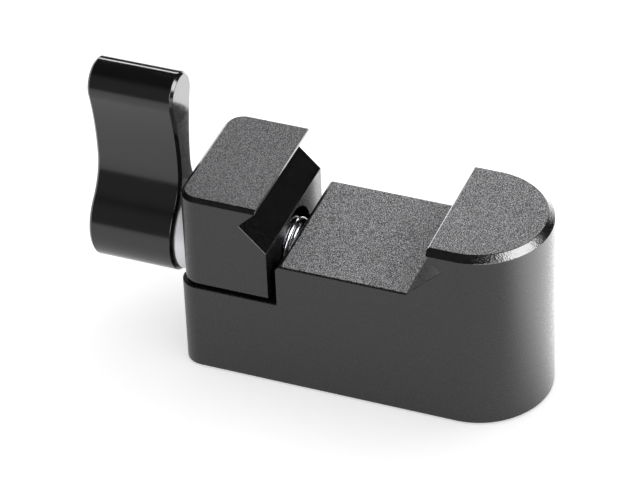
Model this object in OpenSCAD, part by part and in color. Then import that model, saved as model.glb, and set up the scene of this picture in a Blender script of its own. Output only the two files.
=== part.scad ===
// Clamp for a 21.2 mm accessory rail, lying on its flat back with both jaws up.
// X runs along the screw, Y across the clamp, Z from the flat back up to the jaws.
// The origin is on the flat back, under the middle of the rail channel.

/* [Rail] */
// Width of the rail over its edges, mm
rail_w = 21.2; // [21.0:0.1:21.4]
// Width of the flat top of the rail, mm
rail_top_w = 15.67; // [15.4:0.01:15.9]
// Height of the upright edge between the rail's slopes, mm
rail_edge_h = 2.74; // [2.5:0.01:3.0]
// How much further than a clamped rail the moving jaw stands open, mm
open_gap = 0.38; // [0.1:0.01:1.0]

/* [Body] */
// Width of the clamp
body_w = 17.4; // [16.8:0.1:19]
// Length of the body
body_len = 42.6; // [42:0.1:46]
// Height of the fixed jaw
body_h = 24; // [23.6:0.1:26]
// Height of the platform that the rail's top meets
platform_h = 17.3; // [17:0.1:18]
// Height of the step that carries the moving jaw
step_h = 11.7; // [11:0.1:12]
// Length of the step, up to the platform's wall
step_len = 12.4; // [12.2:0.1:12.8]
// Reach of the fixed jaw's hook inwards from the bottom of its V
hook_reach = 1.85; // [1.5:0.05:2.2]
// Corner radius of the square end
corner_r = 2.3; // [1.5:0.1:3]
// Width of the channel that guides the moving jaw
channel_w = 12.6; // [12.2:0.1:13]
// Height of the channel's floor
channel_floor = 6.9; // [6.5:0.1:7.5]

/* [Moving jaw] */
// Length of the moving jaw along the screw
jaw_len = 10.95; // [10.5:0.05:11.2]
// Height of the moving jaw above its step
jaw_h = 12.2; // [12:0.1:12.6]
// Play between the moving jaw and its step
jaw_lift = 0.6; // [0.3:0.05:0.8]
// Diameter of the recess for the spring
recess_d = 9.6; // [9:0.1:9.8]
// Depth of the recess for the spring
recess_depth = 5; // [4.5:0.1:5.5]

/* [Screw] */
// Height of the screw's axis
axis_h = 13.6; // [13.4:0.1:13.7]
// Diameter of the screw's thread
screw_d = 5; // [4.9:0.1:5]
// Diameter of the collar
collar_d = 10.3; // [9.8:0.1:10.6]
// Thickness of the collar
collar_t = 1.87; // [1.6:0.01:2]
// Thickness of the washer between the collar and the jaw
washer_t = 0.4; // [0.3:0.05:0.5]
// Number of splines that drive the lever's hub
spline_count = 18; // [12:1:24]

/* [Lever] */
// Width of the lever along the screw
lever_w = 10.6; // [10:0.1:12]
// Radius of the lever's hub
hub_r = 5.5; // [5.3:0.05:6]
// Radius of the lever's rounded tip
tip_r = 2.88; // [2.5:0.01:3.2]
// Distance from the screw's axis to the middle of the tip
arm_len = 18.45; // [16:0.05:20]
// Height of the lever's waist over the axis
waist_z = 8.9; // [8:0.1:9.5]
// Thickness of the lever's waist
waist_t = 3.3; // [3:0.1:3.6]

/* [Springs] */
// Wire of the jaw's spring
jaw_wire = 0.6; // [0.5:0.05:0.6]
// Outer diameter of the jaw's spring
jaw_spring_d = 7.2; // [7:0.1:7.3]
// Turns of the jaw's spring
jaw_turns = 7; // [6:0.5:7.5]
// Wire of the lever's spring
lever_wire = 0.4; // [0.3:0.05:0.4]
// Outer diameter of the lever's spring
lever_spring_d = 6.7; // [6.4:0.1:6.8]
// Turns of the lever's spring
lever_turns = 3.5; // [3:0.5:4]

/* [Mounting threads] */
// Bore of a 1/4 inch camera thread
camera_bore_d = 5.2; // [5.1:0.05:5.3]
// Depth of the thread under the rail channel
mid_thread_depth = 8; // [7:0.1:8]
// Depth of the thread in the round end
end_thread_depth = 10; // [8:0.1:12]

/* [Hidden] */
$fn = 96;
// Overlap of solids that are joined
eps = 0.02;
// How far a cutter runs past the face that it leaves
over = 1;
// Beyond the clamp in every direction
far = 60;

// The V grooves fit the diamond that the rail's four slopes make
rail_play = 0.03;
apex_x = (rail_w + rail_edge_h) / 2 + rail_play;
seat_x = rail_top_w / 2;
apex_h = platform_h + apex_x - seat_x;
hook_x = apex_x - hook_reach;
hook_h = apex_h + hook_reach;

// Body
end_r = body_w / 2;
end_reach = 10.1;
right_x = apex_x + end_reach;
left_x = right_x - body_len;
end_x = right_x - end_r;
wall_x = left_x + step_len;
top_chamfer = 0.75;
platform_chamfer = 0.3;
back_chamfer = 0.3;
step_chamfer = 0.1;
wall_round = 0.8;

// Holes in the body, each with a countersunk mouth and the drill's cone at its end
drill_slope = tan(30);
thread_depth = 13.6;
thread_play = 0.05;
thread_mouth = 0.3;
camera_mouth = 0.4;

// Moving jaw, at rest
jaw_inset = 0.45;
jaw_x = left_x + jaw_inset;
jaw_face_x = jaw_x + jaw_len;
jaw_z = step_h + jaw_lift;
jaw_top = jaw_z + jaw_h;
jaw_apex_x = -(rail_w + rail_edge_h) / 2 - open_gap;
jaw_apex_rise = 9.7;
jaw_apex_h = jaw_z + jaw_apex_rise;
jaw_hook = 2.1;
jaw_bend_h = jaw_apex_h - (jaw_face_x - jaw_apex_x);
jaw_chamfer = 0.45;
jaw_foot_chamfer = 0.15;
jaw_bore_play = 0.25;
tongue_play = 0.2;
tongue_floor_play = 0.3;
tongue_chamfer = 0.4;

// Washer
washer_play = 0.15;
washer_band = 2;

// Screw
collar_x = jaw_x - washer_t - collar_t;
collar_edge = 0.25;
stud_len = 22.5;
stud_tip_x = jaw_x + stud_len;
stud_chamfer = 0.5;
spline_len = 2.3;
spline_r = 3.9;
spline_depth = 0.5;
sleeve_r = 2.4;
sleeve_len = 8.4;
sleeve_x = collar_x - sleeve_len;
pin_hole_depth = 6.5;

// Lever
lever_x = collar_x - lever_w;
lever_chamfer = 0.35;
web_sink = 0.03;
hub_play = 0.06;
socket_depth = spline_len + 0.15;
web_t = 1.6;
well_r = 3.9;
well_mouth = 0.4;
well_x = collar_x - socket_depth - web_t;

// Lever screw
head_r = 3.6;
head_t = 1.7;
head_chamfer = 0.3;
hex_flats = 2.5;
hex_depth = 1.1;
pin_r = 1.5;
pin_len = 5.5;

// Springs
coil_sides = 8;
coil_steps = 24;
closed_turns = 0.75;

// Colours
body_black = [0.16, 0.16, 0.17];
jaw_black = [0.2, 0.2, 0.21];
lever_black = [0.07, 0.07, 0.075];
screw_steel = [0.78, 0.78, 0.77];
washer_steel = [0.6, 0.6, 0.6];
spring_steel = [0.8, 0.8, 0.8];
black_steel = [0.35, 0.35, 0.36];

// Turns a flat outline in Y and Z into a solid along X
module along_x(length) {
  rotate([90, 0, 90]) linear_extrude(length) children();
}

// Turns a flat outline in X and Z into a solid across Y
module across_y(width) {
  rotate([90, 0, 0]) linear_extrude(width, center = true) children();
}

// Turns an outline of radius and distance into a solid round the screw's axis, from x
module turned(x) {
  translate([x, 0, axis_h]) rotate([0, 90, 0]) rotate_extrude() children();
}

// A block's end view with its four long edges bevelled
module bevelled_end(width, height, top, bottom) {
  w = width / 2;
  polygon([
    [-w + bottom, 0], [w - bottom, 0], [w, bottom], [w, height - top],
    [w - top, height], [-w + top, height], [-w, height - top], [-w, bottom]
  ]);
}

// An upright round post with both rims bevelled
module post(r, height, top, bottom) {
  rotate_extrude() polygon([
    [0, 0], [r - bottom, 0], [r, bottom], [r, height - top], [r - top, height], [0, height]
  ]);
}

// A block from x = 0 with two rounded corners at its left end, all its rims bevelled
module block(length, height, top, bottom) {
  translate([corner_r, 0, 0]) along_x(length - corner_r) bevelled_end(body_w, height, top, bottom);
  across_y(body_w - 2 * corner_r) polygon([
    [bottom, 0], [corner_r + eps, 0], [corner_r + eps, height],
    [top, height], [0, height - top], [0, bottom]
  ]);
  for (side = [-1, 1])
    translate([corner_r, side * (end_r - corner_r), 0]) post(corner_r, height, top, bottom);
}

// The body's round half, from x to the round end, with all its rims bevelled
module round_half(x, height, top) {
  translate([x, 0, 0]) along_x(end_x - x) bevelled_end(body_w, height, top, back_chamfer);
  translate([end_x, 0, 0]) post(end_r, height, top, back_chamfer);
}

// Side view of the fixed jaw: its foot, the hook, the upper slope and the lower slope
module fixed_jaw_side() {
  polygon([
    [seat_x, -over], [far, -over], [far, body_h + over], [hook_x, body_h + over], [hook_x, hook_h],
    [apex_x, apex_h], [seat_x, apex_h - (apex_x - seat_x)]
  ]);
}

// A drilled hole with a countersunk mouth and the drill's cone at its end
module drilled(r, depth, mouth) {
  rotate_extrude() polygon([
    [0, -over], [r + mouth + over, -over], [r, mouth], [r, depth], [0, depth + r * drill_slope]
  ]);
}

module body() {
  color(body_black)
  difference() {
    union() {
      translate([left_x, 0, 0]) block(end_x - left_x, step_h, step_chamfer, back_chamfer);
      difference() {
        round_half(wall_x, platform_h, platform_chamfer);
        across_y(body_w + over) difference() {
          translate([wall_x - over, platform_h - wall_round]) square(over + wall_round);
          translate([wall_x + wall_round, platform_h - wall_round]) circle(wall_round);
        }
      }
      intersection() {
        round_half(wall_x, body_h, top_chamfer);
        across_y(body_w + over) fixed_jaw_side();
      }
    }
    guide_channel();
    translate([wall_x, 0, axis_h]) rotate([0, 90, 0])
      drilled(screw_d / 2 + thread_play, thread_depth, thread_mouth);
    drilled(camera_bore_d / 2, mid_thread_depth, camera_mouth);
    translate([end_x, 0, 0]) drilled(camera_bore_d / 2, end_thread_depth, camera_mouth);
  }
}

// The channel is milled in from the square end and stops at the platform's wall
module guide_channel() {
  translate([left_x - over, -channel_w / 2, channel_floor])
    cube([step_len + over, channel_w, body_h]);
}

// Side view of what the cutter takes out of the moving jaw's inner face
module moving_jaw_cut() {
  polygon([
    [jaw_face_x + over, jaw_bend_h - over], [jaw_apex_x, jaw_apex_h],
    [jaw_apex_x + jaw_hook, jaw_apex_h + jaw_hook],
    [jaw_apex_x + jaw_hook, jaw_top + over], [jaw_face_x + over, jaw_top + over]
  ]);
}

module moving_jaw() {
  color(jaw_black)
  difference() {
    union() {
      translate([jaw_x, 0, jaw_z]) block(jaw_len, jaw_h, jaw_chamfer, jaw_foot_chamfer);
      tongue();
    }
    across_y(body_w + over) moving_jaw_cut();
    turned(jaw_face_x - recess_depth) square([recess_d / 2, recess_depth + over]);
    turned(jaw_x - over) square([screw_d / 2 + jaw_bore_play, jaw_len]);
  }
}

// The tongue under the jaw runs in the body's channel and keeps the jaw square
module tongue() {
  foot = channel_floor + tongue_floor_play;
  translate([jaw_x, 0, foot]) along_x(jaw_len)
    bevelled_end(channel_w - 2 * tongue_play, jaw_z + over - foot, 0, tongue_chamfer);
}

// Outline of a straight-sided serration, used by the screw and, a little larger, by the lever
module serration(outer, depth) {
  step = 360 / spline_count;
  polygon([
    for (i = [0:spline_count - 1], half = [0, 1])
      (outer - half * depth) * [cos((i + half / 2) * step), sin((i + half / 2) * step)]
  ]);
}

module clamp_screw() {
  stud_r = screw_d / 2;
  collar_r = collar_d / 2;
  reach = stud_tip_x - collar_x;
  color(screw_steel)
  difference() {
    union() {
      turned(collar_x) polygon([
        [0, 0], [collar_r - collar_edge, 0], [collar_r, collar_edge], [collar_r, collar_t - collar_edge],
        [collar_r - collar_edge, collar_t], [stud_r, collar_t], [stud_r, reach - stud_chamfer],
        [stud_r - stud_chamfer, reach], [0, reach]
      ]);
      translate([collar_x - spline_len, 0, axis_h]) along_x(spline_len + eps)
        serration(spline_r, spline_depth);
      turned(sleeve_x) square([sleeve_r, sleeve_len]);
    }
    turned(sleeve_x - over) square([pin_r + thread_play, pin_hole_depth + over]);
  }
}

module thrust_washer() {
  color(washer_steel)
  turned(jaw_x - washer_t) translate([screw_d / 2 + washer_play, 0]) square([washer_band, washer_t]);
}

// How far along its axis a spring's wire has come after some turns, with both end turns closed
function coil_x(turn, turns, wire, length) =
  let (
    shut = min(turn, closed_turns) + max(turn - (turns - closed_turns), 0),
    pitch = (length - wire - 2 * closed_turns * wire) / (turns - 2 * closed_turns)
  )
  wire / 2 + shut * wire + (turn - shut) * pitch;

// Ring i of the wire: its middle runs round the axis and on along X
function coil_ring(i, r, wire, turns, length) =
  let (
    turn = i / coil_steps,
    x = coil_x(turn, turns, wire, length),
    out = [0, sin(turn * 360), cos(turn * 360)]
  )
  [for (k = [0:coil_sides - 1])
    let (a = k * 360 / coil_sides)
    [x + wire / 2 * sin(a), 0, 0] + out * (r + wire / 2 * cos(a))];

// A compression spring from x along the screw: rings of points joined by flat faces
module coil(x, d, wire, turns, length) {
  last = turns * coil_steps;
  points = [for (i = [0:last]) each coil_ring(i, (d - wire) / 2, wire, turns, length)];
  sides = [for (i = [0:last - 1], k = [0:coil_sides - 1])
    let (n = (k + 1) % coil_sides, a = i * coil_sides)
    [a + k, a + n, a + coil_sides + n, a + coil_sides + k]];
  start = [for (k = [coil_sides - 1:-1:0]) k];
  finish = [for (k = [0:coil_sides - 1]) last * coil_sides + k];
  color(spring_steel)
  translate([x, 0, axis_h]) polyhedron(points, concat(sides, [start, finish]), convexity = 10);
}

// It sits on the floor of the jaw's recess and presses on the platform's wall
module jaw_spring() {
  x = jaw_face_x - recess_depth;
  coil(x, jaw_spring_d, jaw_wire, jaw_turns, wall_x - x);
}

// It sits on the web in the lever's well and presses on the screw's head
module lever_spring() {
  coil(sleeve_x, lever_spring_d, lever_wire, lever_turns, well_x - sleeve_x);
}

module lever_screw() {
  color(black_steel)
  difference() {
    turned(sleeve_x - head_t) polygon([
      [0, 0], [head_r - head_chamfer, 0], [head_r, head_chamfer], [head_r, head_t],
      [pin_r, head_t], [pin_r, head_t + pin_len], [0, head_t + pin_len]
    ]);
    translate([sleeve_x - head_t - over, 0, axis_h]) rotate([0, 90, 0])
      cylinder(h = hex_depth + over, d = hex_flats / cos(30), $fn = 6);
  }
}

// A disc of the lever, its two rims bevelled
module lever_disc(z, r) {
  translate([0, 0, z]) turned(lever_x) polygon([
    [0, 0], [r - lever_chamfer, 0], [r, lever_chamfer], [r, lever_w - lever_chamfer],
    [r - lever_chamfer, lever_w], [0, lever_w]
  ]);
}

// Cuts one hollow side of the lever, flared at both ends so that the bevel runs on
module hollow_cutter(r) {
  c = lever_chamfer;
  for (side = [-1, 1])
    translate([0, side * (r + waist_t / 2), waist_z]) turned(lever_x) polygon([
      [0, -over], [r + c + over, -over], [r, c], [r, lever_w - c],
      [r + c + over, lever_w + over], [0, lever_w + over]
    ]);
}

// Radius of the hollow that leaves the waist and runs into a disc without a corner
function hollow_r(disc_r, dz) =
  (dz * dz - disc_r * disc_r + waist_t * waist_t / 4) / (2 * disc_r - waist_t);

// The web from the waist to a disc whose middle lies dz above the waist, or below it
module web(disc_r, dz) {
  inner_r = disc_r - web_sink;
  r = hollow_r(inner_r, dz);
  share = inner_r / (inner_r + r);
  y = share * (r + waist_t / 2) + lever_chamfer;
  z = waist_z + dz * (1 - share) + sign(dz) * lever_chamfer / 2;
  difference() {
    translate([lever_x, 0, axis_h]) along_x(lever_w) polygon([
      [-y, z], [y, z], [y, waist_z], [-y, waist_z]
    ]);
    hollow_cutter(r);
  }
}

// The well in the lever's outer side, for its spring and its screw's head
module lever_well() {
  depth = well_x - lever_x;
  turned(lever_x) polygon([
    [0, -over], [well_r + well_mouth + over, -over], [well_r, well_mouth], [well_r, depth], [0, depth]
  ]);
}

module lever() {
  color(lever_black)
  difference() {
    union() {
      lever_disc(0, hub_r);
      lever_disc(arm_len, tip_r);
      web(hub_r, -waist_z);
      web(tip_r, arm_len - waist_z);
    }
    translate([collar_x - socket_depth, 0, axis_h]) along_x(socket_depth + over)
      serration(spline_r + hub_play, spline_depth);
    lever_well();
    turned(lever_x) square([sleeve_r + hub_play, lever_w]);
  }
}

body();
moving_jaw();
clamp_screw();
thrust_washer();
jaw_spring();
lever();
lever_spring();
lever_screw();
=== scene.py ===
"""A rail clamp with a wave-shaped wing lever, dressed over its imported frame.

The shapes are worked out in millimetres and laid over the frame's nodes, which they replace.
"""
import math

import bmesh
import bpy
from mathutils import Matrix, Vector


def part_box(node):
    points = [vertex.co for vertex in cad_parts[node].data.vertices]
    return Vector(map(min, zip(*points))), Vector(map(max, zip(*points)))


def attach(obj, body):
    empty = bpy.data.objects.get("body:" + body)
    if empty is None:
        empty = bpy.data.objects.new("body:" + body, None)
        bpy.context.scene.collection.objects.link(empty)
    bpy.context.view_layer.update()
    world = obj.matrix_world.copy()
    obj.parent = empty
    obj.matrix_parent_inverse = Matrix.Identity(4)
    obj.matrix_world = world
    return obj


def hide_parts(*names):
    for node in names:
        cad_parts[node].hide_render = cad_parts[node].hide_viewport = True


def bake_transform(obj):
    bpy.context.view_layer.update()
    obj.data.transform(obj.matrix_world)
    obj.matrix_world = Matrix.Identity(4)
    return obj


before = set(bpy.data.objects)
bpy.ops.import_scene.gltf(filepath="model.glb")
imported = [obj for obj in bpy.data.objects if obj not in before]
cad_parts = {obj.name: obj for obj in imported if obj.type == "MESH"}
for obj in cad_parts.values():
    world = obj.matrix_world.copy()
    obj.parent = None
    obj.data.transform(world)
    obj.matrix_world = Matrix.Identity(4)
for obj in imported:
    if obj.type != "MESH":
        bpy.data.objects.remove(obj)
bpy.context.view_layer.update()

MM = 1000.0
TAU = 2 * math.pi


def box_mm(node):
    """Lowest and highest corner of a node, in millimetres."""
    low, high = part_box(node)
    return low * MM, high * MM


body_low, body_high = box_mm("body")
jaw_low, jaw_high = box_mm("moving_jaw")
screw_low, screw_high = box_mm("clamp_screw")
washer_low, washer_high = box_mm("thrust_washer")
lever_low, lever_high = box_mm("lever")
head_low, head_high = box_mm("lever_screw")

# Body: sizes that the frame's boxes don't give
BODY_W = body_high.y - body_low.y
END_R = BODY_W / 2
END_X = body_high.x - END_R
PLATFORM_H = 17.3
STEP_H = 11.7
WALL_X = body_low.x + 12.4
WALL_ROUND = 0.8
CORNER_R = 2.3
TOP_CHAMFER = 0.75
PLATFORM_CHAMFER = 0.15
BACK_CHAMFER = 0.3
STEP_CHAMFER = 0.1
CHANNEL_W = 12.6
CHANNEL_FLOOR = 6.9
APEX_X = body_high.x - 10.1
SEAT_X = 7.835
APEX_H = PLATFORM_H + APEX_X - SEAT_X
HOOK_REACH = 1.85
HOOK_EDGE = 0.2
STUD_BORE_R = 2.55
STUD_BORE_DEPTH = 13.6
STUD_BORE_MOUTH = 0.3
DRILL_SLOPE = math.tan(math.radians(30))

# Quarter inch camera threads
CAMERA_MINOR_R = 2.6
CAMERA_MAJOR_R = 3.17
CAMERA_PITCH = 1.27
MID_THREAD_DEPTH = 8.0
END_THREAD_DEPTH = 10.0
CAMERA_MOUTH = 0.4
TAP_START = 0.3
TAP_LEAD = 0.6
TAP_RUNOUT = 0.7
TAP_R = 4.0

# Moving jaw
JAW_Z = jaw_high.z - 12.2
JAW_APEX_X = -12.35
JAW_APEX_H = JAW_Z + 9.7
JAW_HOOK = 2.1
JAW_BEND_H = JAW_APEX_H - (jaw_high.x - JAW_APEX_X)
JAW_CHAMFER = 0.45
JAW_FOOT_CHAMFER = 0.15
JAW_BORE_R = 2.75
TONGUE_W = CHANNEL_W - 0.4
TONGUE_CHAMFER = 0.4
RECESS_R = 4.8
RECESS_X = jaw_high.x - 5.0

# Screw, lever and springs
AXIS_H = (screw_low.z + screw_high.z) / 2
COLLAR_R = (screw_high.z - screw_low.z) / 2
COLLAR_X = lever_high.x
COLLAR_END_X = washer_low.x
COLLAR_EDGE = 0.25
STUD_R = 2.5
STUD_MINOR_R = 2.02
STUD_NECK_R = 2.45
STUD_NECK = 0.9
STUD_CHAMFER = 0.6
STUD_PITCH = 0.8
WASHER_HOLE_R = 2.65
SPLINES = 18
SPLINE_R = 3.9
SPLINE_DEPTH = 0.5
SPLINE_LEN = 2.3
SPLINE_PLAY = 0.06
SLEEVE_R = 2.4
SOCKET_FLOOR_X = COLLAR_X - SPLINE_LEN - 0.15
WELL_X = SOCKET_FLOOR_X - 1.6
WELL_R = 3.9
WELL_MOUTH = 0.4
HUB_R = (lever_high.y - lever_low.y) / 2
TIP_R = 2.88
TIP_Z = lever_high.z - TIP_R
WAIST_Z = AXIS_H + 8.9
WAIST_T = 3.3
LEVER_CHAMFER = 0.35
HEX_FLATS = 2.5
HEX_DEPTH = 1.1
HEAD_CHAMFER = 0.3
PIN_R = 1.5
PIN_HOLE_DEPTH = 6.5
PIN_PLAY = 0.05
JAW_WIRE = 0.6
JAW_COILS = 7
LEVER_WIRE = 0.4
LEVER_COILS = 3.5
CLOSED_TURNS = 0.85

# Edge rounding, how far a cutter runs past what it cuts, a length past the whole clamp,
# and how far up a face has to look to count as level
EDGE = 0.06
WASHER_EDGE = 0.04
OVER = 1
FAR = 60
LEVEL = 0.99

# Directions of the studio's soft lights from the clamp
RIGHT_PANEL = (0.766, 0.0, 0.643)
CAMERA_PANEL = (0.53, -0.757, 0.375)
FRONT_GLOW = (-0.3, -0.9, 0.2)
BACK_STRIP = (-0.304, 0.84, 0.45)


# Mesh helpers


def new_piece(name, bm):
    """Turns a bmesh into an object with its faces pointing outwards."""
    bmesh.ops.recalc_face_normals(bm, faces=bm.faces)
    mesh = bpy.data.meshes.new(name)
    bm.to_mesh(mesh)
    bm.free()
    piece = bpy.data.objects.new(name, mesh)
    bpy.context.scene.collection.objects.link(piece)
    return piece


def loft(name, rings):
    """A closed solid through rings that all have the same number of points."""
    bm = bmesh.new()
    rows = [[bm.verts.new(point) for point in ring] for ring in rings]
    count = len(rows[0])
    for low, high in zip(rows, rows[1:]):
        for i in range(count):
            j = (i + 1) % count
            bm.faces.new((low[i], low[j], high[j], high[i]))
    bm.faces.new(rows[0])
    bm.faces.new(rows[-1])
    return new_piece(name, bm)


def across_y(name, outline, half_width):
    """A flat outline in x and z, made a solid across the clamp."""
    return loft(name, [[(x, y, z) for x, z in outline] for y in (-half_width, half_width)])


def along_x(name, outline, start, end):
    """A flat outline in y and z, made a solid along the screw."""
    return loft(name, [[(x, y, z) for y, z in outline] for x in (start, end)])


def turned(name, profile, steps=128, height=AXIS_H, closed=False):
    """A profile of (x, radius) turned round the screw's axis. A closed one makes a ring."""
    bm = bmesh.new()
    rows = []
    for x, r in profile:
        if r == 0:
            rows.append([bm.verts.new((x, 0, height))] * steps)
        else:
            turn = [i * TAU / steps for i in range(steps)]
            rows.append([bm.verts.new((x, r * math.sin(a), height + r * math.cos(a))) for a in turn])
    if closed:
        rows.append(rows[0])
    for low, high in zip(rows, rows[1:]):
        for i in range(steps):
            j = (i + 1) % steps
            corners = list(dict.fromkeys((low[i], low[j], high[j], high[i])))
            if len(corners) > 2:
                bm.faces.new(corners)
    return new_piece(name, bm)


def pin(name, start, end, r, steps=128):
    """A plain cylinder on the screw's axis."""
    return turned(name, [(start, 0), (start, r), (end, r), (end, 0)], steps=steps)


def stood_up(piece, x):
    """Turns a piece made along the screw's axis at height 0 to stand on the back at x."""
    piece.data.transform(Matrix.Translation((x, 0, 0)) @ Matrix.Rotation(-math.pi / 2, 4, "Y"))
    return piece


def thread(name, start, length, pitch, minor_r, major_r, height=0.0, steps=48):
    """A closed rod along x with a helical ridge, a little longer than length at both ends."""
    crest, root = 0.14, 0.2
    peak = (1 + root) / 2
    outline = [(0.0, minor_r), (root, minor_r), (peak - crest / 2, major_r), (peak + crest / 2, major_r)]
    turns = int(length / pitch) + 2
    bm = bmesh.new()
    rows = []
    for i in range(turns * steps + 1):
        angle = i * TAU / steps
        out = Vector((0, math.sin(angle), math.cos(angle)))
        along = start - pitch + pitch * i / steps
        rows.append([bm.verts.new(Vector((along + share * pitch, 0, height)) + out * r)
                     for share, r in outline])

    def point(i, k):
        return rows[i][k] if k < len(outline) else rows[i + steps][0]

    last = len(rows) - 1 - steps
    for i in range(last):
        for k in range(len(outline)):
            corners = (point(i, k), point(i + 1, k), point(i + 1, k + 1), point(i, k + 1))
            bm.faces.new(corners)
    for i in range(last + 1, len(rows)):
        for vert in rows[i][1:]:
            bm.verts.remove(vert)
    first_loop = [row[0] for row in rows[:steps + 1]] + rows[0][:0:-1]
    last_loop = [row[0] for row in rows[last:last + steps + 1]] + rows[last][:0:-1]
    for loop, x in ((first_loop, start - pitch / 2), (last_loop, rows[last][0].co.x + pitch / 2)):
        middle = bm.verts.new((x, 0, height))
        for a, b in zip(loop, loop[1:] + loop[:1]):
            bm.faces.new((a, b, middle))
    return new_piece(name, bm)


def settle(piece):
    """Puts what the piece's modifiers make into its own mesh."""
    bpy.context.view_layer.update()
    graph = bpy.context.evaluated_depsgraph_get()
    mesh = bpy.data.meshes.new_from_object(piece.evaluated_get(graph))
    old = piece.data
    piece.modifiers.clear()
    piece.data = mesh
    bpy.data.meshes.remove(old)
    return piece


def combine(piece, operation, *tools):
    """Joins, cuts or keeps the common part of a piece and each tool in turn."""
    for tool in tools:
        modifier = piece.modifiers.new(operation, "BOOLEAN")
        modifier.operation = operation
        modifier.solver = "MANIFOLD"
        modifier.object = tool
        settle(piece)
        bpy.data.objects.remove(tool)
    return piece


def cut(piece, *tools):
    return combine(piece, "DIFFERENCE", *tools)


def join(piece, *tools):
    return combine(piece, "UNION", *tools)


def keep_common(piece, *tools):
    return combine(piece, "INTERSECT", *tools)


def soften(piece, width=EDGE, sharp=28.0):
    """Merges flat faces and rounds every edge sharper than the angle a little."""
    same = 0.002
    flat = math.radians(0.4)
    bm = bmesh.new()
    bm.from_mesh(piece.data)
    bmesh.ops.remove_doubles(bm, verts=bm.verts, dist=same)
    bmesh.ops.dissolve_degenerate(bm, dist=same, edges=bm.edges)
    bmesh.ops.dissolve_limit(bm, angle_limit=flat, verts=bm.verts, edges=bm.edges)
    bm.to_mesh(piece.data)
    bm.free()
    bevel = piece.modifiers.new("edges", "BEVEL")
    bevel.width = width
    bevel.segments = 2
    bevel.limit_method = "ANGLE"
    bevel.angle_limit = math.radians(sharp)
    bevel.use_clamp_overlap = False
    bevel.miter_outer = "MITER_ARC"
    settle(piece)
    return shade(piece)


def shade(piece):
    """Smooth shading that leaves the flat faces flat."""
    piece.data.shade_smooth()
    normals = piece.modifiers.new("normals", "WEIGHTED_NORMAL")
    normals.keep_sharp = True
    normals.weight = 80
    return settle(piece)


def shade_by_angle(piece, degrees):
    """Smooth shading, with the edges sharper than the angle left sharp."""
    bm = bmesh.new()
    bm.from_mesh(piece.data)
    for edge in bm.edges:
        edge.smooth = len(edge.link_faces) == 2 and edge.calc_face_angle(0) < math.radians(degrees)
    bm.to_mesh(piece.data)
    bm.free()
    piece.data.shade_smooth()
    return piece


def paint(piece, materials, choose=None):
    """Gives a piece its finishes; choose picks one by number for each face's middle and normal."""
    piece.data.materials.clear()
    for material in materials:
        piece.data.materials.append(material)
    for face in piece.data.polygons:
        face.material_index = choose(face.center, face.normal) if choose else 0
    return piece


def place(piece, node, body):
    """Scales a finished piece to metres and lays it over its node."""
    piece.data.transform(Matrix.Scale(1 / MM, 4))
    piece.data.update()
    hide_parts(node)
    if body:
        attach(piece, body)
    return piece


# Shader groups


def add_group(name, inputs, outputs):
    """An empty shader node group with its sockets, and its two end nodes."""
    group = bpy.data.node_groups.new(name, "ShaderNodeTree")
    for label, kind, value in inputs:
        socket = group.interface.new_socket(label, in_out="INPUT", socket_type=kind)
        socket.default_value = value
    for label, kind in outputs:
        group.interface.new_socket(label, in_out="OUTPUT", socket_type=kind)
    return group, group.nodes.new("NodeGroupInput"), group.nodes.new("NodeGroupOutput")


def math_node(tree, operation, *values):
    """A Math node on sockets or numbers, and its output."""
    node = tree.nodes.new("ShaderNodeMath")
    node.operation = operation
    for slot, value in enumerate(values):
        if isinstance(value, (int, float)):
            node.inputs[slot].default_value = value
        else:
            tree.links.new(value, node.inputs[slot])
    return node.outputs[0]


def blasted_grain_group():
    """The fine dimples that glass beads leave: a height, and a mask that is 1 on the peaks.

    The noise and the cells add up to about 1, and only the top of that range counts as a peak.
    """
    group, start, end = add_group(
        "blasted_grain",
        [("Grain Size", "NodeSocketFloat", 0.00022), ("Depth", "NodeSocketFloat", 1.0)],
        [("Height", "NodeSocketFloat"), ("Peaks", "NodeSocketFloat")],
    )
    where = group.nodes.new("ShaderNodeTexCoord")
    scale = math_node(group, "DIVIDE", 1.0, start.outputs["Grain Size"])
    noise = group.nodes.new("ShaderNodeTexNoise")
    noise.inputs["Detail"].default_value = 2.0
    noise.inputs["Roughness"].default_value = 0.6
    cells = group.nodes.new("ShaderNodeTexVoronoi")
    cells.feature = "SMOOTH_F1"
    cells.inputs["Smoothness"].default_value = 0.6
    for texture in (noise, cells):
        group.links.new(where.outputs["Object"], texture.inputs["Vector"])
        group.links.new(scale, texture.inputs["Scale"])
    both = math_node(group, "ADD", noise.outputs[0], cells.outputs["Distance"])
    height = math_node(group, "MULTIPLY", both, start.outputs["Depth"])
    group.links.new(height, end.inputs["Height"])
    rise = group.nodes.new("ShaderNodeMapRange")
    rise.inputs["From Min"].default_value = 1.0
    rise.inputs["From Max"].default_value = 1.14
    group.links.new(both, rise.inputs["Value"])
    group.links.new(rise.outputs[0], end.inputs["Peaks"])
    return group


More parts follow.
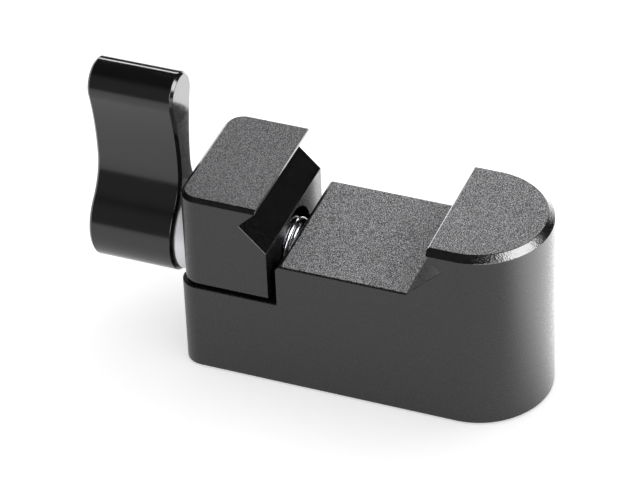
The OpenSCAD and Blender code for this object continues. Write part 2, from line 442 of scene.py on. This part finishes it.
def turning_marks_group():
    """The faint rings that a lathe tool leaves round the screw's axis."""
    group, start, end = add_group(
        "turning_marks",
        [("Axis Height", "NodeSocketFloat", 0.0136), ("Spacing", "NodeSocketFloat", 0.0001)],
        [("Height", "NodeSocketFloat"), ("Sheen", "NodeSocketFloat")],
    )
    where = group.nodes.new("ShaderNodeTexCoord")
    split = group.nodes.new("ShaderNodeSeparateXYZ")
    group.links.new(where.outputs["Object"], split.inputs[0])
    drop = math_node(group, "SUBTRACT", split.outputs["Z"], start.outputs["Axis Height"])
    squares = [math_node(group, "POWER", side, 2.0) for side in (split.outputs["Y"], drop)]
    radius = math_node(group, "SQRT", math_node(group, "ADD", *squares))
    along = math_node(group, "ADD", split.outputs["X"], radius)
    rings = math_node(group, "DIVIDE", along, start.outputs["Spacing"])
    noise = group.nodes.new("ShaderNodeTexNoise")
    noise.noise_dimensions = "1D"
    noise.inputs["Scale"].default_value = 1.0
    noise.inputs["Detail"].default_value = 3.0
    group.links.new(rings, noise.inputs["W"])
    group.links.new(noise.outputs[0], end.inputs["Height"])
    group.links.new(noise.outputs[0], end.inputs["Sheen"])
    return group


def brushed_group():
    """Fine scratches that run along the screw, as a height and a mask."""
    group, start, end = add_group(
        "brushed",
        [("Spacing", "NodeSocketFloat", 0.0002), ("Length", "NodeSocketFloat", 0.004)],
        [("Height", "NodeSocketFloat"), ("Mask", "NodeSocketFloat")],
    )
    where = group.nodes.new("ShaderNodeTexCoord")
    split = group.nodes.new("ShaderNodeSeparateXYZ")
    group.links.new(where.outputs["Object"], split.inputs[0])
    joined = group.nodes.new("ShaderNodeCombineXYZ")
    for axis, size in (("X", "Length"), ("Y", "Spacing"), ("Z", "Spacing")):
        share = math_node(group, "DIVIDE", split.outputs[axis], start.outputs[size])
        group.links.new(share, joined.inputs[axis])
    noise = group.nodes.new("ShaderNodeTexNoise")
    noise.inputs["Scale"].default_value = 1.0
    noise.inputs["Detail"].default_value = 3.0
    group.links.new(joined.outputs[0], noise.inputs["Vector"])
    group.links.new(noise.outputs[0], end.inputs["Height"])
    group.links.new(noise.outputs[0], end.inputs["Mask"])
    return group


def tone_group():
    """A slow cloudiness that keeps a dyed surface from being one flat colour."""
    group, start, end = add_group(
        "tone",
        [("Dark", "NodeSocketColor", (0, 0, 0, 1)), ("Light", "NodeSocketColor", (1, 1, 1, 1)),
         ("Patch Size", "NodeSocketFloat", 0.004)],
        [("Color", "NodeSocketColor"), ("Mask", "NodeSocketFloat")],
    )
    where = group.nodes.new("ShaderNodeTexCoord")
    noise = group.nodes.new("ShaderNodeTexNoise")
    noise.inputs["Detail"].default_value = 4.0
    group.links.new(where.outputs["Object"], noise.inputs["Vector"])
    group.links.new(math_node(group, "DIVIDE", 1.0, start.outputs["Patch Size"]), noise.inputs["Scale"])
    mix = group.nodes.new("ShaderNodeMix")
    mix.data_type = "RGBA"
    group.links.new(noise.outputs[0], mix.inputs["Factor"])
    group.links.new(start.outputs["Dark"], mix.inputs["A"])
    group.links.new(start.outputs["Light"], mix.inputs["B"])
    group.links.new(mix.outputs["Result"], end.inputs["Color"])
    group.links.new(noise.outputs[0], end.inputs["Mask"])
    return group


GRAIN = blasted_grain_group()
TURNING = turning_marks_group()
BRUSHED = brushed_group()
TONE = tone_group()


# Materials


def new_material(name):
    """A material, its node tree and its Principled shader."""
    material = bpy.data.materials.new(name)
    material.use_nodes = True
    tree = material.node_tree
    return material, tree, tree.nodes["Principled BSDF"]


def use_group(tree, group, **values):
    """Places a group in a material and sets its inputs."""
    node = tree.nodes.new("ShaderNodeGroup")
    node.node_tree = group
    for label, value in values.items():
        node.inputs[label.replace("_", " ")].default_value = value
    return node


def grey(value):
    """A neutral colour with a trace of blue."""
    return (value, value, value * 1.03, 1)


def add_bump(tree, shader, height, depth_mm):
    """Lets a height stand out of the surface by a depth in millimetres."""
    bump = tree.nodes.new("ShaderNodeBump")
    bump.inputs["Strength"].default_value = 1.0
    bump.inputs["Distance"].default_value = depth_mm / MM
    tree.links.new(height, bump.inputs["Height"])
    tree.links.new(bump.outputs[0], shader.inputs["Normal"])


def remap(tree, value, low, high, start=0.0, end=1.0):
    """Maps a 0 to 1 value onto another range, and returns the output."""
    node = tree.nodes.new("ShaderNodeMapRange")
    tree.links.new(value, node.inputs["Value"])
    node.inputs["From Min"].default_value = start
    node.inputs["From Max"].default_value = end
    node.inputs["To Min"].default_value = low
    node.inputs["To Max"].default_value = high
    return node.outputs[0]


def anodised(name, shade_of_black, roughness, grain_size, depth_mm, specular=0.65, painted_glint=0.0):
    """Dyed anodised aluminium: nearly black; where blasted, pale grey on the grain's peaks is painted glints
    of light.
    """
    cloud, polish = 0.15, 0.05
    material, tree, shader = new_material(name)
    tone = use_group(tree, TONE, Dark=grey(shade_of_black * (1 - cloud)),
                     Light=grey(shade_of_black * (1 + cloud)))
    grain = use_group(tree, GRAIN, Grain_Size=grain_size)
    # Pale grey on the grain's peaks is a painted glint: light glittering off the blasted grain, put into the
    # colour.
    if painted_glint:
        mix = tree.nodes.new("ShaderNodeMix")
        mix.data_type = "RGBA"
        tree.links.new(grain.outputs["Peaks"], mix.inputs["Factor"])
        tree.links.new(tone.outputs["Color"], mix.inputs["A"])
        mix.inputs["B"].default_value = grey(painted_glint)
        tree.links.new(mix.outputs["Result"], shader.inputs["Base Color"])
    else:
        tree.links.new(tone.outputs["Color"], shader.inputs["Base Color"])
    tree.links.new(remap(tree, grain.outputs["Peaks"], roughness + polish, roughness - polish),
                   shader.inputs["Roughness"])
    add_bump(tree, shader, grain.outputs["Height"], depth_mm)
    shader.inputs["Specular IOR Level"].default_value = specular
    return material


def bright_steel(name, value, roughness, depth_mm, metallic=1.0):
    """Turned stainless steel, with the faint rings of the lathe."""
    material, tree, shader = new_material(name)
    tone = use_group(tree, TONE, Dark=grey(value * 0.93), Light=grey(value), Patch_Size=0.002)
    marks = use_group(tree, TURNING)
    tree.links.new(tone.outputs["Color"], shader.inputs["Base Color"])
    tree.links.new(remap(tree, marks.outputs["Sheen"], roughness * 0.7, roughness * 1.3),
                   shader.inputs["Roughness"])
    add_bump(tree, shader, marks.outputs["Height"], depth_mm)
    shader.inputs["Metallic"].default_value = metallic
    return material


def glossy_black(name):
    """The lever's dyed aluminium, polished over faint brushing."""
    material, tree, shader = new_material(name)
    tone = use_group(tree, TONE, Dark=grey(0.004), Light=grey(0.007), Patch_Size=0.003)
    scratches = use_group(tree, BRUSHED)
    tree.links.new(tone.outputs["Color"], shader.inputs["Base Color"])
    tree.links.new(remap(tree, scratches.outputs["Mask"], 0.08, 0.2, start=0.3, end=0.7),
                   shader.inputs["Roughness"])
    add_bump(tree, shader, scratches.outputs["Height"], depth_mm=0.0006)
    shader.inputs["Specular IOR Level"].default_value = 0.65
    return material


SATIN = anodised("satin_black", 0.004, roughness=0.32, grain_size=0.00016, depth_mm=0.0015)
# The blasted level tops carry painted glints: pale grey on the grain's peaks stands in for light glittering
# off them.
BLASTED_PAINTED_GLINTS = anodised("blasted_black_painted_glints", 0.006, roughness=0.5, grain_size=0.00009, depth_mm=0.05, painted_glint=0.51)
# The jaw's copy of the blasted finish has dimmer painted glints, painted shade that keeps its tops darker
# than the body's.
BLASTED_JAW_SHADED_GLINTS = anodised("blasted_jaw_black_shaded_glints", 0.006, roughness=0.5, grain_size=0.00009, depth_mm=0.05,
                       painted_glint=0.28)
MILLED = anodised("milled_black", 0.002, roughness=0.16, grain_size=0.0003, depth_mm=0.0015)
POLISHED = anodised("polished_black", 0.002, roughness=0.14, grain_size=0.0002, depth_mm=0.022, specular=0.9)
LEVER_BLACK = glossy_black("lever_black")
STAINLESS = bright_steel("stainless", 0.75, roughness=0.25, depth_mm=0.002)
# The collar's frosted steel is pale and mostly not metal: its light colour is partly a painted reflection of
# the white table.
FROSTED_STEEL_PAINTED_REFLECTION = bright_steel("frosted_steel_painted_reflection", 0.95, roughness=0.4, depth_mm=0.003, metallic=0.25)
SPRING_WIRE = bright_steel("spring_wire", 0.62, roughness=0.2, depth_mm=0.001)
BLACK_STEEL = anodised("black_oxide", 0.02, roughness=0.35, grain_size=0.0001, depth_mm=0.001, specular=0.5)


# Body and moving jaw


def arc(centre_x, centre_y, radius, start, end, steps):
    """Points on an arc in the plan, angles in degrees."""
    turn = [math.radians(start + (end - start) * i / steps) for i in range(steps + 1)]
    return [(centre_x + radius * math.cos(a), centre_y + radius * math.sin(a)) for a in turn]


def plan(left, inset, round_end=True, right=None):
    """The clamp's outline from above, drawn in by inset: two small corners and a round or square end."""
    side = END_R - CORNER_R
    points = arc(left + CORNER_R, -side, CORNER_R - inset, 180, 270, 16)
    if round_end:
        points += arc(END_X, 0, END_R - inset, -90, 90, 96)
    else:
        points += [(right, -END_R + inset), (right, END_R - inset)]
    return points + arc(left + CORNER_R, side, CORNER_R - inset, 90, 180, 16)


def upright(name, levels, left, **shape):
    """A solid with the plan's outline; levels gives pairs of height and inset."""
    return loft(name, [[(x, y, z) for x, y in plan(left, inset, **shape)] for z, inset in levels])


def chamfered(low, high, bottom, top):
    """Levels of an upright solid with a chamfer round its bottom and its top."""
    return [(low, bottom), (low + bottom, 0), (high - top, 0), (high, top)]


def drill(name, x, depth, r, mouth):
    """A drill standing on the back: a countersink, the bore and the drill's cone."""
    profile = [(-OVER, 0), (-OVER, r + mouth + OVER), (mouth, r), (depth, r), (depth + r * DRILL_SLOPE, 0)]
    return stood_up(turned(name, profile, steps=64, height=0), x)


def camera_tap(name, x, depth):
    """A tap for the quarter inch thread: it cuts the helical groove, to a little under the bore's depth."""
    tap = thread(name, 0, depth - 0.4, CAMERA_PITCH, CAMERA_MINOR_R - 0.05, CAMERA_MAJOR_R)
    end = depth - TAP_START
    limit = [(TAP_START, 0), (TAP_START, CAMERA_MINOR_R), (TAP_START + TAP_LEAD, TAP_R),
             (end - TAP_RUNOUT, TAP_R), (end, CAMERA_MINOR_R - 0.04), (end, 0)]
    keep_common(tap, turned("limit", limit, steps=64, height=0))
    return stood_up(tap, x)


def is_v_face(middle, normal):
    """Whether a face belongs to a V groove's slopes, which the cutter leaves smoother."""
    slanted = abs(normal.y) < 0.01 and abs(abs(normal.x) - abs(normal.z)) < 0.05
    return slanted and abs(middle.x) < APEX_X + OVER and middle.z > PLATFORM_H - 2


def make_body():
    """The body: its step, its platform and its fixed jaw, then the channel and the bores."""
    foot = upright("body_shell", chamfered(0, STEP_H, BACK_CHAMFER, STEP_CHAMFER), body_low.x)
    middle = upright("middle", chamfered(0, PLATFORM_H, BACK_CHAMFER, PLATFORM_CHAMFER), body_low.x)
    rounded = [(WALL_X, -OVER), (WALL_X, PLATFORM_H - WALL_ROUND)]
    rounded += [(WALL_X + WALL_ROUND * (1 - math.cos(a)), PLATFORM_H - WALL_ROUND * (1 - math.sin(a)))
                for a in (math.radians(90 * i / 12) for i in range(1, 12))]
    rounded += [(WALL_X + WALL_ROUND, PLATFORM_H), (WALL_X + WALL_ROUND, FAR), (FAR, FAR), (FAR, -OVER)]
    keep_common(middle, across_y("side", rounded, BODY_W))
    jaw = upright("fixed", chamfered(0, body_high.z, BACK_CHAMFER, TOP_CHAMFER), body_low.x)
    hook_x = APEX_X - HOOK_REACH
    side = [(SEAT_X, -OVER), (SEAT_X, PLATFORM_H), (APEX_X, APEX_H), (hook_x, APEX_H + HOOK_REACH),
            (hook_x, body_high.z - HOOK_EDGE), (hook_x + HOOK_EDGE, body_high.z), (hook_x + HOOK_EDGE, FAR),
            (FAR, FAR), (FAR, -OVER)]
    keep_common(jaw, across_y("side", side, BODY_W))
    join(foot, middle, jaw)
    half = CHANNEL_W / 2
    channel = [(-half, CHANNEL_FLOOR), (half, CHANNEL_FLOOR), (half, FAR), (-half, FAR)]
    cut(foot, along_x("channel", channel, body_low.x - OVER, WALL_X))
    bore_end = WALL_X + STUD_BORE_DEPTH
    bore = [(WALL_X - OVER, 0), (WALL_X - OVER, STUD_BORE_R + STUD_BORE_MOUTH + OVER),
            (WALL_X + STUD_BORE_MOUTH, STUD_BORE_R), (bore_end, STUD_BORE_R),
            (bore_end + STUD_BORE_R * DRILL_SLOPE, 0)]
    cut(foot, turned("bore", bore, steps=64))
    cut(foot, drill("drill", 0, MID_THREAD_DEPTH, CAMERA_MINOR_R, CAMERA_MOUTH))
    cut(foot, drill("drill", END_X, END_THREAD_DEPTH, CAMERA_MINOR_R, CAMERA_MOUTH))
    soften(foot)
    cut(foot, camera_tap("tap", 0, MID_THREAD_DEPTH), camera_tap("tap", END_X, END_THREAD_DEPTH))

    def finish(middle, normal):
        # Level tops get the blasted finish with its painted glints.
        if normal.z > LEVEL and middle.z > STEP_H + OVER:
            return 1
        if is_v_face(middle, normal):
            return 3
        if middle.z > body_high.z - TOP_CHAMFER - 0.1:
            return 2
        return 0

    paint(foot, [SATIN, BLASTED_PAINTED_GLINTS, POLISHED, MILLED], finish)
    foot.name = "body_finish"
    return place(foot, "body", "clamp_body")


def make_moving_jaw():
    """The moving jaw with its tongue, its V groove, the spring's seat and the screw's bore."""
    jaw = upright("jaw_finish", chamfered(JAW_Z, jaw_high.z, JAW_FOOT_CHAMFER, JAW_CHAMFER), jaw_low.x,
                  round_end=False, right=jaw_high.x)
    half = TONGUE_W / 2
    foot = jaw_low.z
    bevel = TONGUE_CHAMFER
    tongue = [(-half, foot + bevel), (-half + bevel, foot), (half - bevel, foot), (half, foot + bevel),
              (half, JAW_Z + OVER), (-half, JAW_Z + OVER)]
    join(jaw, along_x("tongue", tongue, jaw_low.x, jaw_high.x))
    hook_x = JAW_APEX_X + JAW_HOOK
    past = jaw_high.x + OVER
    groove = [(past, JAW_BEND_H - OVER), (JAW_APEX_X, JAW_APEX_H), (hook_x, JAW_APEX_H + JAW_HOOK),
              (hook_x, jaw_high.z + OVER), (past, jaw_high.z + OVER)]
    cut(jaw, across_y("groove", groove, BODY_W))
    cut(jaw, pin("recess", RECESS_X, past, RECESS_R))
    cut(jaw, pin("bore", jaw_low.x - OVER, RECESS_X + OVER, JAW_BORE_R, steps=64))
    soften(jaw)

    def finish(middle, normal):
        # Level tops get the blasted finish with its dimmer painted glints, which are painted shade.
        if normal.z > LEVEL and middle.z > jaw_high.z - 0.1:
            return 1
        if is_v_face(middle, normal):
            return 3
        if middle.z > jaw_high.z - JAW_CHAMFER - 0.02:
            return 2
        return 0

    paint(jaw, [SATIN, BLASTED_JAW_SHADED_GLINTS, POLISHED, MILLED], finish)
    return place(jaw, "moving_jaw", "jaw_slider")


# Screw, washer and lever


def serration(outer):
    """The splines' outline in y and z: peaks at outer, and valleys one depth in."""
    points = []
    for i in range(2 * SPLINES):
        angle = i * TAU / (2 * SPLINES)
        r = outer - (i % 2) * SPLINE_DEPTH
        points.append((r * math.cos(angle), AXIS_H + r * math.sin(angle)))
    return points


def make_clamp_screw():
    """The threaded stud, its collar and sleeve, the splined hub and the bore for the socket screw."""
    root = COLLAR_END_X
    screw = thread("screw_finish", root + OVER, screw_high.x - root - OVER, STUD_PITCH,
                   STUD_MINOR_R, STUD_R - 0.02, height=AXIS_H, steps=64)
    tip = screw_high.x - STUD_CHAMFER
    limit = [(root + 0.8, 0), (root + 0.8, STUD_R + OVER), (tip, STUD_R + OVER), (tip, STUD_R),
             (screw_high.x, STUD_R - STUD_CHAMFER), (screw_high.x, 0)]
    keep_common(screw, turned("limit", limit, steps=96))
    edge = COLLAR_EDGE
    collar = [(screw_low.x, 0), (screw_low.x, SLEEVE_R), (COLLAR_X, SLEEVE_R), (COLLAR_X, COLLAR_R - edge),
              (COLLAR_X + edge, COLLAR_R), (root - edge, COLLAR_R), (root, COLLAR_R - edge),
              (root, STUD_NECK_R), (root + STUD_NECK, STUD_NECK_R), (root + STUD_NECK + 0.4, STUD_MINOR_R),
              (root + STUD_NECK + STUD_CHAMFER, 0)]
    join(screw, turned("collar", collar, steps=144))
    join(screw, along_x("splines", serration(SPLINE_R), COLLAR_X - SPLINE_LEN, COLLAR_X + 0.1))
    cut(screw, pin("bore", screw_low.x - OVER, screw_low.x + PIN_HOLE_DEPTH, PIN_R + PIN_PLAY, steps=64))
    shade_by_angle(screw, 30)

    def finish(middle, normal):
        # The collar's outer faces take the pale frosted steel, whose light colour is partly a painted
        # reflection.
        on_collar = COLLAR_X - 0.01 < middle.x < COLLAR_END_X + 0.01
        return 1 if on_collar and math.hypot(middle.y, middle.z - AXIS_H) > STUD_R else 0

    paint(screw, [STAINLESS, FROSTED_STEEL_PAINTED_REFLECTION], finish)
    return place(screw, "clamp_screw", "screw_unit")


def make_thrust_washer():
    """The thin ring between the collar and the moving jaw."""
    outer = (washer_high.y - washer_low.y) / 2
    profile = [(washer_low.x, WASHER_HOLE_R), (washer_low.x, outer), (washer_high.x, outer),
               (washer_high.x, WASHER_HOLE_R)]
    washer = turned("washer_finish", profile, closed=True)
    soften(washer, width=WASHER_EDGE)
    paint(washer, [STAINLESS])
    return place(washer, "thrust_washer", "jaw_slider")


def hollow_radius(disc_r, rise):
    """Radius of the hollow that leaves the waist and runs into a disc without a corner."""
    return (rise * rise - disc_r * disc_r + WAIST_T * WAIST_T / 4) / (2 * disc_r - WAIST_T)


def lever_outline(inset):
    """The lever seen along the screw: two round ends and two hollow sides, drawn in by inset."""
    side = []
    for disc_r, disc_z, first in ((TIP_R, TIP_Z, True), (HUB_R, AXIS_H, False)):
        rise = disc_z - WAIST_Z
        r = hollow_radius(disc_r, rise)
        out = r + WAIST_T / 2
        meet = math.atan2(abs(rise), out)
        steps = 40
        disc = []
        hollow = []
        for i in range(steps + 1):
            a = math.pi / 2 + (-math.pi / 2 - meet) * i / steps
            disc.append((disc_r - inset, a, disc_z))
            b = meet * (1 - i / steps)
            hollow.append((out - (r + inset) * math.cos(b), (r + inset) * math.sin(b)))
        sign = 1 if first else -1
        points = [(d * math.cos(a), z + sign * d * math.sin(a)) for d, a, z in disc]
        points += [(y, WAIST_Z + sign * h) for y, h in hollow[1:]]
        side.append(points)
    right = side[0] + list(reversed(side[1]))[1:]
    left = [(-y, z) for y, z in reversed(right)][1:-1]
    return right + left


def make_lever():
    """The wave-shaped wing with its splined socket, and the well for the spring and its screw."""
    c = LEVER_CHAMFER
    rings = []
    for x, inset in ((lever_low.x, c), (lever_low.x + c, 0), (lever_high.x - c, 0), (lever_high.x, c)):
        rings.append([(x, y, z) for y, z in lever_outline(inset)])
    lever = loft("lever_finish", rings)
    cut(lever, along_x("socket", serration(SPLINE_R + SPLINE_PLAY), SOCKET_FLOOR_X, COLLAR_X + OVER))
    outside = lever_low.x - OVER
    cut(lever, turned("well", [(outside, 0), (outside, WELL_R + WELL_MOUTH + OVER),
                               (lever_low.x + WELL_MOUTH, WELL_R), (WELL_X, WELL_R), (WELL_X, 0)]))
    cut(lever, pin("hole", WELL_X - OVER, COLLAR_X, SLEEVE_R + SPLINE_PLAY, steps=96))
    soften(lever)
    paint(lever, [LEVER_BLACK])
    return place(lever, "lever", "lever_unit")


def make_lever_screw():
    """The socket screw that holds the lever and its spring on the clamp screw."""
    head_r = (head_high.y - head_low.y) / 2
    seat_x = screw_low.x
    profile = [(head_low.x, 0), (head_low.x, head_r - HEAD_CHAMFER), (head_low.x + HEAD_CHAMFER, head_r),
               (seat_x, head_r), (seat_x, PIN_R), (head_high.x, PIN_R), (head_high.x, 0)]
    screw = turned("lever_screw_finish", profile, steps=96)
    corner = HEX_FLATS / math.cos(math.radians(30)) / 2
    sixths = [i * TAU / 6 for i in range(6)]
    hexagon = [(corner * math.cos(a), AXIS_H + corner * math.sin(a)) for a in sixths]
    cut(screw, along_x("hexagon", hexagon, head_low.x - OVER, head_low.x + HEX_DEPTH))
    soften(screw)
    paint(screw, [BLACK_STEEL])
    return place(screw, "lever_screw", "screw_unit")


def coil(name, low, high, wire, turns, sides=14, steps=40):
    """A compression spring with closed ends, along the screw between the corners of its node's box."""
    radius = (high.y - low.y) / 2 - wire / 2
    active = turns - 2 * CLOSED_TURNS
    pitch = (high.x - low.x - wire - 2 * CLOSED_TURNS * wire) / active
    bm = bmesh.new()
    rows = []
    for i in range(int(turns * steps) + 1):
        turn = i / steps
        opened = min(max(turn - CLOSED_TURNS, 0), active)
        x = low.x + wire / 2 + (turn - opened) * wire + opened * pitch
        angle = turn * TAU
        out = Vector((0, math.sin(angle), math.cos(angle)))
        row = []
        for k in range(sides):
            a = k * TAU / sides
            row.append(bm.verts.new(Vector((x + wire / 2 * math.sin(a), 0, AXIS_H))
                                    + out * (radius + wire / 2 * math.cos(a))))
        rows.append(row)
    for one, two in zip(rows, rows[1:]):
        for k in range(sides):
            n = (k + 1) % sides
            bm.faces.new((one[k], one[n], two[n], two[k]))
    bm.faces.new(rows[0])
    bm.faces.new(rows[-1])
    piece = new_piece(name, bm)
    return shade_by_angle(piece, 50)


def make_spring(node, wire, turns):
    """A spring laid over its node, between the two bodies that it pushes apart."""
    low, high = box_mm(node)
    spring = coil(node + "_finish", low, high, wire, turns)
    paint(spring, [SPRING_WIRE])
    place(spring, node, None)
    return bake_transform(spring)


# Stage, light and camera


def ray_kinds(tree):
    """Whether a ray comes from the camera, and whether it comes from a shiny or clear surface."""
    paths = tree.nodes.new("ShaderNodeLightPath")
    gloss = math_node(tree, "MAXIMUM", paths.outputs["Is Glossy Ray"], paths.outputs["Is Transmission Ray"])
    return paths.outputs["Is Camera Ray"], gloss


def make_floor():
    """A pale table: white for the camera, with the clamp's shadow kept.

    The shiny surfaces see it glow behind the clamp on the right, and fade to dark far in front of it.
    """
    tone, front_tone = 0.86, 0.14
    sheen, front_sheen, back_glow = 0.33, 0.08, 2.2
    camera_lift = 0.42
    bm = bmesh.new()
    bmesh.ops.create_grid(bm, x_segments=1, y_segments=1, size=2.5)
    floor = new_piece("floor", bm)
    material, tree, shader = new_material("pale_floor")
    shader.inputs["Roughness"].default_value = 0.9
    shader.inputs["Specular IOR Level"].default_value = 0.1
    shader.inputs["Emission Color"].default_value = (1, 1, 1, 1)
    camera, gloss = ray_kinds(tree)
    where = tree.nodes.new("ShaderNodeTexCoord")
    split = tree.nodes.new("ShaderNodeSeparateXYZ")
    tree.links.new(where.outputs["Object"], split.inputs[0])
    to_the_right = math_node(tree, "MULTIPLY", split.outputs["X"], 0.7)
    backward = math_node(tree, "ADD", to_the_right, split.outputs["Y"])
    ahead = soft_step(tree, split.outputs["Y"], -0.05, -0.25)
    darker = math_node(tree, "MULTIPLY", math_node(tree, "MULTIPLY", gloss, ahead), tone - front_tone)
    tree.links.new(math_node(tree, "SUBTRACT", tone, darker), shader.inputs["Base Color"])
    glow = math_node(tree, "ADD", soft_step(tree, backward, 0.004, 0.036, back_glow), sheen)
    glow = math_node(tree, "SUBTRACT", glow, math_node(tree, "MULTIPLY", ahead, sheen - front_sheen))
    strength = math_node(tree, "ADD", math_node(tree, "MULTIPLY", camera, camera_lift),
                         math_node(tree, "MULTIPLY", gloss, glow))
    tree.links.new(strength, shader.inputs["Emission Strength"])
    floor.data.materials.append(material)


def make_world():
    """A pale room: white where it is seen, a little less where it only lights the clamp."""
    white, lighting = 1.0, 0.8
    world = bpy.data.worlds.new("pale_room")
    bpy.context.scene.world = world
    world.use_nodes = True
    tree = world.node_tree
    background = tree.nodes["Background"]
    background.inputs["Color"].default_value = (1, 1, 1, 1)
    camera, gloss = ray_kinds(tree)
    seen = math_node(tree, "MAXIMUM", camera, gloss)
    strength = math_node(tree, "ADD", math_node(tree, "MULTIPLY", seen, white - lighting), lighting)
    tree.links.new(strength, background.inputs["Strength"])


def soft_step(tree, value, low, high, top=1.0):
    """A smooth rise from 0 at low to top at high, which may be the lower one."""
    step = tree.nodes.new("ShaderNodeMapRange")
    step.interpolation_type = "SMOOTHSTEP"
    tree.links.new(value, step.inputs["Value"])
    step.inputs["From Min"].default_value = low
    step.inputs["From Max"].default_value = high
    step.inputs["To Max"].default_value = top
    return step.outputs[0]


def panel(tree, outward, direction, inner, outer, strength):
    """A round soft panel: its full strength within the inner angle, fading to 0 at the outer one."""
    dot = tree.nodes.new("ShaderNodeVectorMath")
    dot.operation = "DOT_PRODUCT"
    tree.links.new(outward, dot.inputs[0])
    dot.inputs[1].default_value = Vector(direction).normalized()
    low, high = (math.cos(math.radians(angle)) for angle in (outer, inner))
    return soft_step(tree, dot.outputs["Value"], low, high, strength)


def strip(tree, outward, direction, half_height, inner, outer, strength):
    """A panel cut down to a level strip light."""
    split = tree.nodes.new("ShaderNodeSeparateXYZ")
    tree.links.new(outward, split.inputs[0])
    away = math_node(tree, "SUBTRACT", split.outputs["Z"], Vector(direction).normalized().z)
    band = soft_step(tree, math_node(tree, "ABSOLUTE", away), half_height * 1.5, half_height * 0.5)
    return math_node(tree, "MULTIPLY", band, panel(tree, outward, direction, inner, outer, strength))


def make_reflected_room():
    """What the shiny surfaces see: black cards round the table, and soft lights between them."""
    card_glow = 0.03
    bm = bmesh.new()
    bmesh.ops.create_uvsphere(bm, u_segments=48, v_segments=24, radius=2.4)
    room = new_piece("reflected_room", bm)
    material, tree, shader = new_material("black_card")
    shader.inputs["Base Color"].default_value = (0, 0, 0, 1)
    shader.inputs["Specular IOR Level"].default_value = 0
    shader.inputs["Emission Color"].default_value = (1, 1, 1, 1)
    where = tree.nodes.new("ShaderNodeTexCoord")
    unit = tree.nodes.new("ShaderNodeVectorMath")
    unit.operation = "NORMALIZE"
    tree.links.new(where.outputs["Object"], unit.inputs[0])
    outward = unit.outputs[0]
    lights = [
        panel(tree, outward, RIGHT_PANEL, inner=16, outer=27, strength=12.0),
        panel(tree, outward, CAMERA_PANEL, inner=12, outer=25, strength=6.0),
        panel(tree, outward, FRONT_GLOW, inner=15, outer=50, strength=0.2),
        strip(tree, outward, BACK_STRIP, half_height=0.05, inner=26, outer=38, strength=10.0),
    ]
    total = card_glow
    for light in lights:
        total = math_node(tree, "ADD", light, total)
    tree.links.new(total, shader.inputs["Emission Strength"])
    room.data.materials.append(material)
    for flag in ("visible_camera", "visible_diffuse", "visible_transmission", "visible_shadow"):
        setattr(room, flag, False)


def make_key_lamp():
    """One broad soft lamp from behind on the right, for the shadow and for the dull surfaces."""
    lamp = bpy.data.lights.new("key", "AREA")
    lamp.shape = "RECTANGLE"
    lamp.size = 1.0
    lamp.size_y = 0.7
    lamp.energy = 2.0
    holder = bpy.data.objects.new("key", lamp)
    holder.location = Vector((0.35, 0.6, 0.9))
    holder.rotation_euler = holder.location.to_track_quat("Z", "Y").to_euler()
    holder.visible_glossy = False
    bpy.context.scene.collection.objects.link(holder)


def make_camera():
    """The photograph's own viewpoint."""
    azimuth = math.radians(22.529)
    elevation = math.radians(37.494)
    roll = math.radians(-2.433)
    target = Vector((-0.005979, 0, 0.015269))
    distance = 0.43858
    back = Vector((math.sin(azimuth) * math.cos(elevation), -math.cos(azimuth) * math.cos(elevation),
                   math.sin(elevation)))
    right = Vector((math.cos(azimuth), math.sin(azimuth), 0))
    up = back.cross(right)
    across = right * math.cos(roll) + up * math.sin(roll)
    upward = up * math.cos(roll) - right * math.sin(roll)
    pose = Matrix((across, upward, back)).transposed().to_4x4()
    pose.translation = target + back * distance
    lens = bpy.data.cameras.new("photo_camera")
    lens.sensor_width = 36
    lens.lens = 213.72
    lens.clip_start = 0.01
    camera = bpy.data.objects.new("photo_camera", lens)
    camera.matrix_world = pose
    bpy.context.scene.collection.objects.link(camera)
    bpy.context.scene.camera = camera


make_camera()
make_body()
make_moving_jaw()
make_clamp_screw()
make_thrust_washer()
make_lever()
make_lever_screw()
make_spring("jaw_spring", JAW_WIRE, JAW_COILS)
make_spring("lever_spring", LEVER_WIRE, LEVER_COILS)
make_floor()
make_world()
make_reflected_room()
make_key_lamp()
bpy.context.scene.view_settings.view_transform = "Standard"
